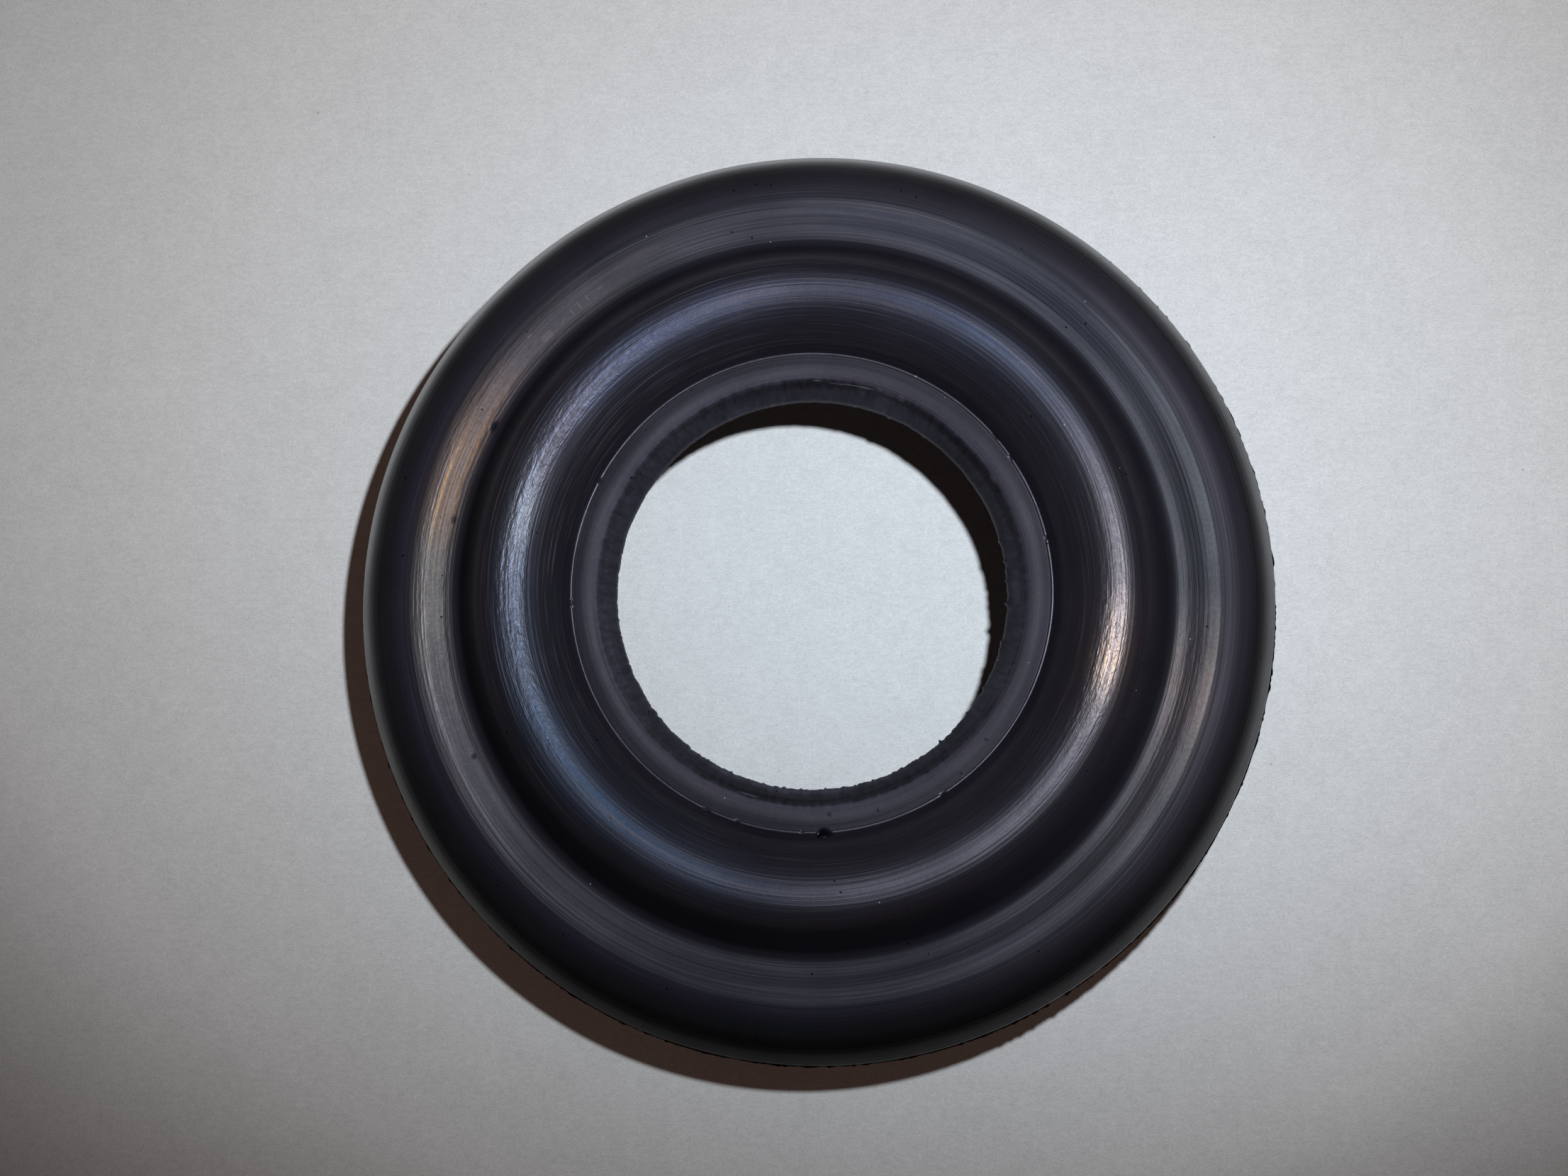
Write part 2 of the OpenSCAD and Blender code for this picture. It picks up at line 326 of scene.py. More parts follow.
# faint colours of the bloom, as seen in the sheen
CREST_SHEEN = [(0, (1.1, 1, 1.08)), (25, (0.86, 0.9, 1.18)), (55, (0.65, 0.9, 1.55)), (90, (0.84, 0.9, 1.35)), (108, (0.8, 0.95, 1.66)), (122, (0.76, 0.95, 1.66)), (135, (0.82, 0.98, 1.66)),
               (150, (1.02, 1.08, 1.55)), (166, (1.12, 1.32, 1.66)), (172, (0.98, 1.15, 1.6)), (180, (0.82, 1.05, 1.6)), (205, (0.6, 0.98, 1.66)), (235, (0.5, 0.88, 1.66)), (252, (0.7, 0.95, 1.55)), (270, (0.93, 1, 1.38)),
               (325, (0.95, 0.95, 1.2)), (337, (1.15, 1.0, 1.0)), (345, (1.66, 1.25, 1.0)), (352, (1.4, 1.15, 1.05))]
TREAD_SHEEN = [(0, (0.67, 0.77, 0.86)), (30, (0.6, 0.74, 0.92)), (50, (0.55, 0.71, 1.02)), (100, (0.69, 0.76, 1.0)), (140, (1.1, 0.95, 1.0)),
               (156, (1.75, 1.05, 0.62)), (166, (1.75, 1.08, 0.62)), (175, (1.15, 1.08, 0.92)), (200, (0.94, 0.92, 1.02)), (235, (0.61, 0.62, 0.84)), (270, (0.49, 0.52, 0.76)),
               (300, (0.6, 0.62, 0.84)), (330, (0.8, 0.8, 0.82)), (345, (1.22, 0.96, 0.84))]
WALL = [(0, 0.95), (20, 0.5), (45, 0.25), (70, 0.75), (90, 0.3), (110, 0.6), (135, 0.95), (180, 1.15), (200, 1.6), (225, 0.85),
        (250, 0.34), (270, 0.42), (290, 0.42), (315, 0.5), (335, 1.1)]     # how much lighter and glossier the wall of the bore is made, round the ring
TREAD_WEAR = [(0, 0.74), (20, 0.75), (45, 0.82), (70, 0.95), (90, 0.92), (110, 0.70), (135, 0.76), (150, 0.96), (165, 1.1), (180, 1.0), (200, 1.0),
              (225, 0.82), (250, 0.72), (270, 0.78), (290, 0.76), (315, 0.74), (335, 0.9), (345, 1.0)]     # gloss of the whole tread
LINE_WEAR = [(0, 0.62), (20, 0.6), (45, 0.9), (90, 0.9), (110, 1), (165, 1), (200, 0.66), (225, 0.72), (250, 0.7), (270, 0.9), (290, 0.85),
             (315, 0.65), (335, 0.48), (345, 0.58)]     # gloss of the witness line
# dust on the lip crown, painted lighter round az 110–200 where the lamp's sheen on the lip is strongest (painted sheen)
LIP_DUST_AND_SHEEN = [(0, 1.05), (20, 0.98), (70, 0.82), (90, 1.08), (110, 1.28), (150, 1.28), (180, 1.75), (200, 1.28), (250, 1.07), (290, 1.25), (315, 1.12), (345, 0.97)]
LEDGE_TONE = [(0, 4.0), (8, 2.2), (20, 1.2), (45, 1.15), (70, 2.5), (90, 1.1), (110, 1.1), (135, 2.4), (165, 2.5), (180, 2.6), (200, 3.1), (225, 1.1), (250, 0.93), (270, 1.05),
              (290, 0.95), (315, 1.25), (335, 2.75), (345, 1.3), (353, 2.0)]     # and how much lighter the colour of the slope above it is made, round the ring
LIP_RISE = [(0, 0.3), (30, 0.8), (45, 2.5), (60, 0.5), (75, 0.2), (90, 2.2), (110, 1.3), (165, 1), (200, 0.5), (225, 0.7), (250, 2.5), (290, 2.3), (315, 0.8), (335, 0.1)]     # painted light on the inner turn of the lip: its colour is made lighter where the lamp's light falls there
LIP_FALL = [(0, 0), (20, 0.2), (45, 0.7), (70, 1), (90, 1), (110, 1.1), (135, 1.2), (165, 0.8), (180, 0.4), (200, 0.8), (225, 1), (250, 0.8), (270, 0.2), (290, 0.8), (315, 0.9), (335, 0.5)]     # how dull its outer turn is
EDGE_DUST_AND_SHEEN = [(0, 1.5), (20, 1.9), (45, 1.6), (70, 0.95), (90, 1), (110, 1.15), (135, 1), (165, 1.12), (200, 1.3), (225, 1.25), (250, 1.2), (290, 1.25), (315, 1.2),
             (335, 2.0), (345, 2.2)]     # a dusty line along the tread's outer edge, painted lighter on the lamp's side (az 335–45) as painted sheen
WEB_SCUFF_AND_GLINT = [(0, 0.95), (20, 0.85), (45, 0.9), (58, 1.5), (70, 3.2), (82, 1.5), (98, 1.5), (110, 3.6), (122, 1.5), (135, 1.05), (150, 2.6), (165, 2.7), (180, 2.6), (200, 2.3),
            (225, 3.2), (250, 6), (270, 6), (290, 4.4), (305, 2.0), (315, 1.25), (345, 0.9)]     # how scuffed the bore's edge is, and painted glints where its torn bits catch the lamp, strongest round az 225–290
PLAIN_SHEEN = [(0, (0.98, 1, 1.32)), (90, (0.9, 1, 1.38)), (120, (0.84, 1, 1.4)), (150, (0.74, 1, 1.45)), (180, (0.66, 1, 1.5)), (210, (0.52, 1, 1.55)), (240, (0.44, 1, 1.55)),
               (270, (0.46, 1, 1.5)), (300, (0.62, 1, 1.45)), (330, (0.86, 1, 1.38))]
EDGE_SHEEN = [(0, (1.4, 1.4, 1.6)), (20, (1.62, 1.58, 1.66)), (45, (1.35, 1.35, 1.66)), (65, (1, 1, 1.4)), (90, (0.98, 1, 1.4)), (120, (0.98, 0.92, 1.5)), (150, (0.95, 0.82, 1.5)), (165, (0.85, 0.74, 1.66)),
              (180, (0.8, 0.72, 1.66)), (210, (0.84, 0.74, 1.66)), (240, (0.76, 0.74, 1.66)), (270, (0.76, 0.76, 1.6)), (300, (1, 1, 1.35)), (315, (1.15, 1.15, 1.45)), (335, (1.35, 1.3, 1.5)), (345, (1.6, 1.52, 1.6))]
RIM_SHEEN = [(0, (1.07, 1, 1.0)), (150, (1.07, 1, 0.96)), (180, (1.15, 1, 0.98)), (210, (1.35, 1, 1.02)), (240, (1.5, 1, 0.98)), (270, (1.4, 1, 1.05)), (300, (1.35, 1, 1.2)), (330, (1.1, 1, 1.06))]

verts, arcs, offsets, counts = [], [], [], []
polish, rough, dust_and_painted_light, gloss, sheen, coarse, crinkle, scratch_and_glint = ([] for _ in range(8))
for i, (r, z) in enumerate(rows):
    phi = azim_fine if fine_row[i] else azim
    s = place[i]
    push = np.zeros_like(phi)
    scar = np.zeros_like(phi)
    dr = np.zeros_like(phi)
    dz = np.zeros_like(phi)
    name = run[i]
    if name in ("lip", "slope", "crest", "riser", "tread", "shoulder", "flank"):
        push += 0.012 * sway(phi, s) - 0.03
    if name == "witness":
        push += 0.012 * sway(phi, s) - 0.03 + 0.022 * (ragged(phi, 31, 0.05) - 0.6)
    if 0 < s < 45:
        for p0, s0, along, across, depth in NICKS:
            d = (phi - math.radians(p0) + math.pi) % (2 * math.pi) - math.pi
            e = (d * r / along) ** 2 + ((s - s0) / across) ** 2
            push -= depth * np.exp(-e ** 1.5)
            scar = np.maximum(scar, np.exp(-(0.5 * e) ** 1.5))
        p0, s0, along, across, depth = VENT
        if abs(s - s0) < 2 * across:
            d = (phi - math.radians(p0) + math.pi) % (2 * math.pi) - math.pi
            e = np.sqrt((d * r / along) ** 2 + ((s - s0) / across) ** 2)
            push -= depth * (np.exp(-((e - 0.85) / 0.2) ** 2) - 0.25 * np.exp(-(e / 0.5) ** 2))
    if name in ("bore", "web"):
        torn = 0.15 * ragged(phi, 21, 0.014, 2.0) + 0.08 * ragged(phi, 22, 0.045) + 0.05 * ragged(phi, 23, 0.005)
        calm = np.interp(np.degrees(phi), [0, 25, 55, 150, 190], [1, 0.7, 0.45, 0.55, 1], period=360)
        near = math.exp(-max(s_row[i] + 1.88, 0) / 0.35)
        dr += near * (calm * (torn - 0.115) + 0.02)
        for p0, across, length in TAGS:
            d = (phi - math.radians(p0) + math.pi) % (2 * math.pi) - math.pi
            dr -= near * calm * length * np.exp(-(d * r / across) ** 2)
        dz += (0.10 * (ragged(phi, 24, 0.02) - 0.7)) * (math.exp(-max(s_row[i], 0) / 0.25) if s_row[i] > -0.1 else 0)
    if name == "flash":
        tip = abs(z - PART_Z) < FLASH_T / 3
        if tip:
            dr += -0.13 + 0.20 * ragged(phi, 41, 0.006, 4.0) + 0.08 * ragged(phi, 42, 0.02)
    R = r + dr + push * normal[i, 0]
    Z = z + dz + push * normal[i, 1]
    if name == "flash":
        R = np.minimum(R, OUTER_D / 2)
    offsets.append(sum(counts))
    counts.append(len(phi))
    verts.append(np.column_stack([R * np.cos(phi), R * np.sin(phi), Z]))
    arcs.append(np.full(len(phi), s_row[i]))
    wall = 1 + (np.interp(np.degrees(phi), [w[0] for w in WALL], [w[1] for w in WALL], period=360) - 1) * lookup(s, [(0, 0.6), (1, 1), (2.0, 1), (3.6, 0)])
    for kept, table in ((polish, POLISH), (rough, ROUGH), (dust_and_painted_light, DUST), (gloss, GLOSS)):
        kept.append(np.full(len(phi), lookup(s, table) if 0 <= s <= 45 else table[0][1]))
        if table in (DUST, GLOSS) and 0 <= s < 3.6:
            kept[-1] = kept[-1] * wall
        if table is GLOSS and s > 36.5:
            by_azimuth = np.interp(np.degrees(phi), [w[0] for w in RIM_GLOSS], [w[1] for w in RIM_GLOSS], period=360)
            kept[-1] = kept[-1] * (1 + (by_azimuth - 1) * lookup(s, [(36.5, 0), (39.5, 1)]))
        # some of these tables paint light into the colour: the shoulder, lip and tread-edge ones make it lighter where
        # the lamp's light and sheen fall
        for kind, around, where in ((GLOSS, CREST_GLOSS, [(12.5, 0), (14, 1), (18, 1), (19, 0)]), (POLISH, CREST_GLOSS, [(12.5, 0), (14, 1), (18, 1), (19, 0)]),
                                    (GLOSS, TREAD_GLOSS, [(30.2, 0), (30.8, 1), (32.2, 1), (33, 0)]), (POLISH, TREAD_GLOSS, [(30.2, 0), (30.8, 1), (32.2, 1), (33, 0)]),
                                    (DUST, SHOULDER_PAINTED_LIGHT, [(32.2, 0), (32.8, 1), (37, 1), (38, 0)]),
                                    (GLOSS, TREAD_WEAR, [(26.3, 0), (26.9, 1), (32.2, 1), (33, 0)]), (POLISH, TREAD_WEAR, [(26.3, 0), (26.9, 1), (32.2, 1), (33, 0)]),
                                    (GLOSS, LINE_WEAR, [(6.2, 0), (6.4, 1), (6.95, 1), (7.1, 0)]), (DUST, LIP_DUST_AND_SHEEN, [(3.3, 0), (3.9, 1), (5.2, 1), (5.8, 0)]),
                                    (DUST, EDGE_DUST_AND_SHEEN, [(32.3, 0), (32.9, 1), (34.2, 1), (34.8, 0)])):
            if table is kind and where[0][0] < s < where[-1][0]:
                by_azimuth = np.interp(np.degrees(phi), [w[0] for w in around], [w[1] for w in around], period=360)
                kept[-1] = kept[-1] * (1 + (by_azimuth - 1) * lookup(s, where))
        if table in (GLOSS, POLISH):
            kept[-1] = kept[-1] * (1 - 0.75 * scar)
        # the bore's edge and the slope above it: scuffing together with painted glints on the torn bits
        if table is DUST and name in ("bore", "web", "lip") and -3.6 < s_row[i] < 0.4:
            edge = np.interp(s_row[i] + 0.5 * (ragged(phi, 55, 0.06) - 0.5), [-1.45, -0.9], [1, 0])      # the torn ledge along the bore
            by_azimuth = edge * np.interp(np.degrees(phi), [w[0] for w in WEB_SCUFF_AND_GLINT], [w[1] for w in WEB_SCUFF_AND_GLINT], period=360)
            by_azimuth = by_azimuth + (1 - edge) * np.interp(np.degrees(phi), [w[0] for w in LEDGE_TONE], [w[1] for w in LEDGE_TONE], period=360)
            kept[-1] = kept[-1] * (1 + (by_azimuth - 1) * lookup(s_row[i], [(0, 1), (0.4, 0)]))
        # painted light: LIP_RISE makes the colour of the lip's inner turn lighter where the lamp's light falls
        for kind, weight, where in ((DUST, LIP_RISE, [(0.5, 1), (0.9, 2.5), (2.2, 4.6), (3.9, 2.8), (4.15, 1.8), (4.6, 1)]), (GLOSS, LIP_FALL, [(4.3, 1), (4.6, 0.85), (5.0, 0.72), (5.4, 0.85), (5.9, 1)])):
            if table is kind and where[0][0] < s < where[-1][0]:
                kept[-1] = kept[-1] * (1 + (lookup(s, where) - 1) * np.interp(np.degrees(phi), [w[0] for w in weight], [w[1] for w in weight], period=360))
    deg = np.degrees(phi)
    crinkle.append(lookup(s, [(13, 0), (14, 1), (16.5, 1), (17.5, 0), (27, 0), (28, 0.45), (31.5, 0.45), (33, 0)]) * np.interp(deg, [0, 15, 40, 110, 140, 150, 190, 220, 300, 328, 336, 352, 360], [0.6, 0.3, 0.12, 0.2, 0.6, 1, 1, 0.2, 0.1, 0.4, 1, 1, 0.6]))
    # light scratch lines along the turning marks: their lightness is painted glint, strongest round az 110–200 where
    # the lamp's sheen falls
    scratch_and_glint.append(lookup(s, [(7.5, 0), (8.2, 0.7), (13.5, 1), (14.5, 0.3), (16, 0.3), (17.5, 0.8), (19, 0.6), (20, 0), (27.5, 0), (28.5, 0.5), (33, 0.5), (34, 0)])
                * np.interp(deg, [0, 80, 110, 150, 200, 230, 280, 360], [0.25, 0.3, 0.9, 1, 1, 0.4, 0.2, 0.25]))
    coarse.append(np.full(len(phi), lookup(s, [(-0.5, 0.6), (0, 1.0), (1.3, 0.95), (2.6, 0.45), (3.6, 0.18), (6.6, 0.13), (7.0, 0.0)])))
    to_crest = lookup(s, [(9, 0), (13, 1), (18, 1), (20, 0)])
    to_tread = lookup(s, [(26.5, 0), (27.5, 1), (32, 1), (33.5, 0)])
    to_rim = lookup(s, [(38, 0), (41, 1)])
    to_edge = lookup(s, [(32.2, 0), (32.9, 1), (33.8, 1), (34.6, 0)]) * (1 - to_tread)
    plain = round_lookup(phi, PLAIN_SHEEN) * lookup(s, [(9, 0), (16, 1)]) + np.array((1.0, 1.0, 1.3)) * (1 - lookup(s, [(9, 0), (16, 1)]))
    band = round_lookup(phi, TREAD_SHEEN)
    grey = band[:, 1:2] * np.array((0.98, 1, 1.1))
    band = grey + (band - grey) * lookup(s, [(27.2, 0.5), (28.8, 1), (30.8, 1.05), (31.8, 0.7)])      # the colour is strongest along the middle of the tread
    tint = (round_lookup(phi, CREST_SHEEN) * to_crest + band * to_tread + round_lookup(phi, EDGE_SHEEN) * to_edge
            + round_lookup(phi, RIM_SHEEN) * to_rim + plain * (1 - to_crest - to_tread - to_edge - to_rim))
    sheen.append(np.column_stack([np.clip(tint * 0.6, 0, 1), np.ones(len(phi))]))
verts = np.vstack(verts) * MM
arcs = np.concatenate(arcs)

faces = []
j = np.arange(A)
jf = np.arange(A * FINE)
for i in range(len(rows)):
    i2 = (i + 1) % len(rows)
    a, b, na, nb = offsets[i], offsets[i2], counts[i], counts[i2]
    if na == nb:
        q = np.arange(na)
        q1 = (q + 1) % na
        new = [f for f in np.column_stack([a + q, b + q, b + q1, a + q1])]
    elif na < nb:      # coarse row, then fine row
        new = []
        c0, c1 = a + j, a + (j + 1) % A
        f0, f1, f2, f3 = (b + (FINE * j + m) % nb for m in range(4))
        for t in ((c0, f0, f1), (c0, f1, f2), (c0, f2, c1), (c1, f2, f3)):
            new += [f for f in np.column_stack(t)]
    else:              # fine row, then coarse row
        new = []
        c0, c1 = b + j, b + (j + 1) % A
        f0, f1, f2, f3 = (a + (FINE * j + m) % na for m in range(4))
        for t in ((c0, f1, f0), (c0, f2, f1), (c0, c1, f2), (c1, f3, f2)):
            new += [f for f in np.column_stack(t)]
    faces += [tuple(int(v) for v in f) for f in new]

me = bpy.data.meshes.new("grommet_body")
me.from_pydata([tuple(v) for v in verts], [], faces)
me.polygons.foreach_set("use_smooth", [True] * len(me.polygons))
for key, values in (("arc", [arcs]), ("polish", polish), ("rough", rough), ("dust_and_painted_light", dust_and_painted_light), ("gloss", gloss), ("coarse", coarse), ("crinkle", crinkle), ("scratch_and_glint", scratch_and_glint)):
    me.attributes.new(key, "FLOAT", "POINT").data.foreach_set("value", np.concatenate(values).astype(np.float32))
me.attributes.new("sheen", "FLOAT_COLOR", "POINT").data.foreach_set("color", np.vstack(sheen).astype(np.float32).ravel())
me.update()
me.set_sharp_from_angle(angle=math.radians(38))
body = bpy.data.objects.new("grommet_body", me)
scene.collection.objects.link(body)
print("MESH", len(rows), "rows", A, "azimuths", len(faces), "faces", sum(len(f) - 2 for f in faces), "triangles")


# ---------------------------------------------------------------- materials
def node(tree, kind, **values):
    n = tree.nodes.new(kind)
    for key, value in values.items():
        setattr(n, key, value)
    return n


def link(tree, a, b):
    tree.links.new(a, b)


def math_node(tree, op, a, b=None, c=None, clamp=False):
    n = node(tree, "ShaderNodeMath", operation=op, use_clamp=clamp)
    for i, v in enumerate((a, b, c)):
        if v is None:
            continue
        if isinstance(v, (int, float)):
            n.inputs[i].default_value = v
        else:
            link(tree, v, n.inputs[i])
    return n.outputs[0]


def ring_coords(tree, along_freq, across_freq):
    """Vector whose noise runs in streaks round the ring."""
    tc = node(tree, "ShaderNodeTexCoord")
    sep = node(tree, "ShaderNodeSeparateXYZ")
    link(tree, tc.outputs["Object"], sep.inputs[0])
    flat = node(tree, "ShaderNodeCombineXYZ")
    link(tree, sep.outputs[0], flat.inputs[0])
    link(tree, sep.outputs[1], flat.inputs[1])
    unit = node(tree, "ShaderNodeVectorMath", operation="NORMALIZE")
    link(tree, flat.outputs[0], unit.inputs[0])
    s2 = node(tree, "ShaderNodeSeparateXYZ")
    link(tree, unit.outputs[0], s2.inputs[0])
    at = node(tree, "ShaderNodeAttribute", attribute_name="arc", attribute_type="GEOMETRY")
    out = node(tree, "ShaderNodeCombineXYZ")
    link(tree, math_node(tree, "MULTIPLY", s2.outputs[0], along_freq), out.inputs[0])
    link(tree, math_node(tree, "MULTIPLY", s2.outputs[1], along_freq), out.inputs[1])
    link(tree, math_node(tree, "MULTIPLY", at.outputs["Fac"], across_freq), out.inputs[2])
    return out.outputs[0]


def noise(tree, vector, scale, detail=2.0, rough=0.5, dims="3D"):
    n = node(tree, "ShaderNodeTexNoise", noise_dimensions=dims)
    n.inputs["Scale"].default_value = scale
    n.inputs["Detail"].default_value = detail
    n.inputs["Roughness"].default_value = rough
    link(tree, vector, n.inputs["Vector"])
    return n.outputs["Fac"]


def map_range(tree, value, lo, hi, to_lo, to_hi, smooth=False):
    n = node(tree, "ShaderNodeMapRange", clamp=True, interpolation_type="SMOOTHSTEP" if smooth else "LINEAR")
    for key, v in zip(("From Min", "From Max", "To Min", "To Max"), (lo, hi, to_lo, to_hi)):
        n.inputs[key].default_value = v
    link(tree, value, n.inputs["Value"])
    return n.outputs["Result"]


def mix_color(tree, fac, a, b, blend="MIX"):
    n = node(tree, "ShaderNodeMix", data_type="RGBA", blend_type=blend)
    for key, v in ((0, fac), (6, a), (7, b)):
        if isinstance(v, (int, float)):
            n.inputs[key].default_value = v
        elif isinstance(v, tuple):
            n.inputs[key].default_value = (*v, 1)
        else:
            link(tree, v, n.inputs[key])
    return n.outputs[2]


def attribute(tree, name):
    return node(tree, "ShaderNodeAttribute", attribute_name=name, attribute_type="GEOMETRY")


DARK, PALE = (0.0125, 0.0120, 0.0170), (0.0200, 0.0195, 0.0265)
rubber = bpy.data.materials.new("rubber")
rubber.use_nodes = True
t = rubber.node_tree
t.nodes.clear()
out = node(t, "ShaderNodeOutputMaterial")
both = node(t, "ShaderNodeMixShader")
soft = node(t, "ShaderNodeBsdfPrincipled")
sharp = node(t, "ShaderNodeBsdfPrincipled")
link(t, soft.outputs[0], both.inputs[1])
link(t, sharp.outputs[0], both.inputs[2])
dead = node(t, "ShaderNodeBsdfPrincipled")
skin = node(t, "ShaderNodeMixShader")
link(t, dead.outputs[0], skin.inputs[1])
link(t, both.outputs[0], skin.inputs[2])
link(t, skin.outputs[0], out.inputs[0])
obj = node(t, "ShaderNodeTexCoord").outputs["Object"]
streak = noise(t, ring_coords(t, 2.0, 4.2), 1.0, 3.0, 0.6)     # turning marks
groove = noise(t, ring_coords(t, 1.1, 3.0), 1.0, 2.0, 0.55)    # the deeper ones
cloud = noise(t, obj, 90.0, 3.0, 0.55)
fine = noise(t, obj, 2600.0, 2.0, 0.6)                         # grain of the rubber
lumps = noise(t, obj, 1500.0, 3.0, 0.65)                       # cut face of the lip
lines = noise(t, ring_coords(t, 2.6, 11.0), 1.0, 2.0, 0.5)     # single light scratch lines along the turning marks, painted as glints
dents = noise(t, ring_coords(t, 22.0, 2.2), 1.0, 3.0, 0.6)      # crinkled skin of the crest
tears = noise(t, ring_coords(t, 34.0, 0.5), 1.0, 3.0, 0.6)     # streaks up the wall of the bore
scratch_and_glint_lines = math_node(t, "MULTIPLY", map_range(t, lines, 0.59, 0.72, 0.0, 1.0), attribute(t, "scratch_and_glint").outputs["Fac"])


def dots(tree, scale, size, share):
    """Sparse round dots, 1 inside and 0 outside."""
    n = node(tree, "ShaderNodeTexVoronoi", feature="F1")
    n.inputs["Scale"].default_value = scale
    link(tree, obj, n.inputs["Vector"])
    here = math_node(tree, "LESS_THAN", n.outputs["Distance"], size)
    first = node(tree, "ShaderNodeSeparateColor")
    link(tree, n.outputs["Color"], first.inputs[0])
    return math_node(tree, "MULTIPLY", here, math_node(tree, "LESS_THAN", first.outputs[0], share))


def marks(tree, table):
    """Small soft ovals at (azimuth in degrees, arc length, size along the ring, size across it; mm), 1 inside."""
    sep = node(tree, "ShaderNodeSeparateXYZ")
    link(tree, obj, sep.inputs[0])
    turn = math_node(tree, "ARCTAN2", sep.outputs[1], sep.outputs[0])
    at = attribute(tree, "arc").outputs["Fac"]
    total = None
    for deg, s0, along, across in table:
        r0 = float(np.interp(s0, [0.0, 0.9, 3.84, 6.7, 8.0, 14.0, 19.0, 26.0, 31.0, 36.0], [22.4, 23.6, 24.3, 27.0, 27.5, 31.5, 36.3, 39.8, 44.5, 49.0]))
        a0 = math.radians((deg + 180) % 360 - 180)
        u = math_node(tree, "MULTIPLY", math_node(tree, "SUBTRACT", turn, a0), r0 / along)
        v = math_node(tree, "MULTIPLY", math_node(tree, "SUBTRACT", at, float(np.interp(s0, place[i_top:], s_row[i_top:]))), 1 / across)
        d = math_node(tree, "ADD", math_node(tree, "MULTIPLY", u, u), math_node(tree, "MULTIPLY", v, v))
        one = map_range(tree, d, 0.3, 1.2, 1.0, 0.0, smooth=True)
        total = one if total is None else math_node(tree, "MAXIMUM", total, one)
    return total


pits = dots(t, 420.0, 0.055, 0.5)
specks = dots(t, 300.0, 0.022, 0.7)
bloom = math_node(t, "MULTIPLY", map_range(t, streak, 0.35, 0.75, 0.0, 1.0), map_range(t, cloud, 0.3, 0.75, 0.25, 1.0))
# the dust attribute holds the skin's dust and also painted light and sheen from the shoulder, lip, tread-edge and
# bore-edge tables; both make the colour lighter
dust_and_painted_light_fac = attribute(t, "dust_and_painted_light").outputs["Fac"]
colour = mix_color(t, math_node(t, "MULTIPLY", dust_and_painted_light_fac, map_range(t, bloom, 0.0, 1.0, 0.8, 1.5)), (0.0008, 0.0008, 0.0012), (0.0142, 0.0146, 0.0226))
colour = mix_color(t, 1.0, colour, map_range(t, dust_and_painted_light_fac, 1.6, 3.6, 1.0, 2.2), "MULTIPLY")
# pale marks along the torn ledge of the bore and on the witness line: partly scuffs, partly painted glints where these
# edges catch the lamp
scuffs_and_glints = marks(t, [(77.0, 0.75, 1.9, 0.05), (82.0, 0.62, 1.2, 0.04), (74.0, 0.85, 1.0, 0.04), (63.4, 6.75, 0.16, 0.10), (253.4, 0.65, 1.15, 0.10),
                   (54.7, 6.2, 0.07, 0.07), (88.0, 0.9, 0.5, 0.05)])
smears = marks(t, [(67.9, 0.95, 0.9, 0.35), (64.5, 1.6, 0.6, 0.5), (70.5, 1.9, 0.5, 0.3), (99.0, 1.2, 0.8, 0.25), (31.0, 1.5, 0.6, 0.4)])
ticks = marks(t, [(124.5, 29.6, 0.5, 0.16), (127.0, 29.5, 0.16, 0.45), (128.7, 29.4, 0.18, 0.55), (130.2, 29.3, 0.16, 0.5), (132.0, 29.2, 0.5, 0.14),
                  (135.6, 29.2, 0.9, 0.5), (137.5, 30.6, 0.4, 0.2)])
rubs = marks(t, [(190.0, 31.4, 5.0, 0.45), (197.5, 31.0, 3.2, 0.35), (203.5, 30.3, 2.2, 0.55), (208.0, 31.6, 3.0, 0.30), (178.0, 30.0, 3.0, 0.5), (118.0, 30.5, 4.0, 0.5)])
torn = math_node(t, "MULTIPLY", map_range(t, tears, 0.35, 0.7, -0.45, 0.9), attribute(t, "coarse").outputs["Fac"])
colour = mix_color(t, 1.0, colour, math_node(t, "ADD", torn, 1.0), "MULTIPLY")
# painted glints: light lines along the turning marks
colour = mix_color(t, scratch_and_glint_lines, colour, (0.075, 0.075, 0.094))
colour = mix_color(t, math_node(t, "MULTIPLY", smears, 0.6), colour, (0.040, 0.040, 0.052))
colour = mix_color(t, math_node(t, "MULTIPLY", scuffs_and_glints, 0.9), colour, (0.16, 0.16, 0.19))
colour = mix_color(t, math_node(t, "MULTIPLY", ticks, 0.55), colour, (0.060, 0.060, 0.066))
colour = mix_color(t, math_node(t, "MULTIPLY", rubs, map_range(t, bloom, 0.1, 0.6, 0.1, 0.7)), colour, (0.050, 0.048, 0.052))
vent = marks(t, [(VENT[0], VENT[1], 0.78, 0.62)])
colour = mix_color(t, math_node(t, "MULTIPLY", vent, 0.85), colour, (0.0012, 0.0012, 0.0016))
colour = mix_color(t, pits, colour, (0.0015, 0.0015, 0.0020))
colour = mix_color(t, specks, colour, (0.30, 0.30, 0.32))
coarse_at = attribute(t, "coarse").outputs["Fac"]
smooth_at = math_node(t, "SUBTRACT", 1.0, coarse_at, clamp=True)
b1 = node(t, "ShaderNodeBump")
b1.inputs["Distance"].default_value = 0.040 * MM
link(t, math_node(t, "MULTIPLY", groove, smooth_at), b1.inputs["Height"])
b2 = node(t, "ShaderNodeBump")
b2.inputs["Distance"].default_value = 0.004 * MM
link(t, fine, b2.inputs["Height"])
b4 = node(t, "ShaderNodeBump")
b4.inputs["Distance"].default_value = 0.07 * MM
link(t, math_node(t, "MULTIPLY", dents, attribute(t, "crinkle").outputs["Fac"]), b4.inputs["Height"])
link(t, b1.outputs[0], b4.inputs["Normal"])
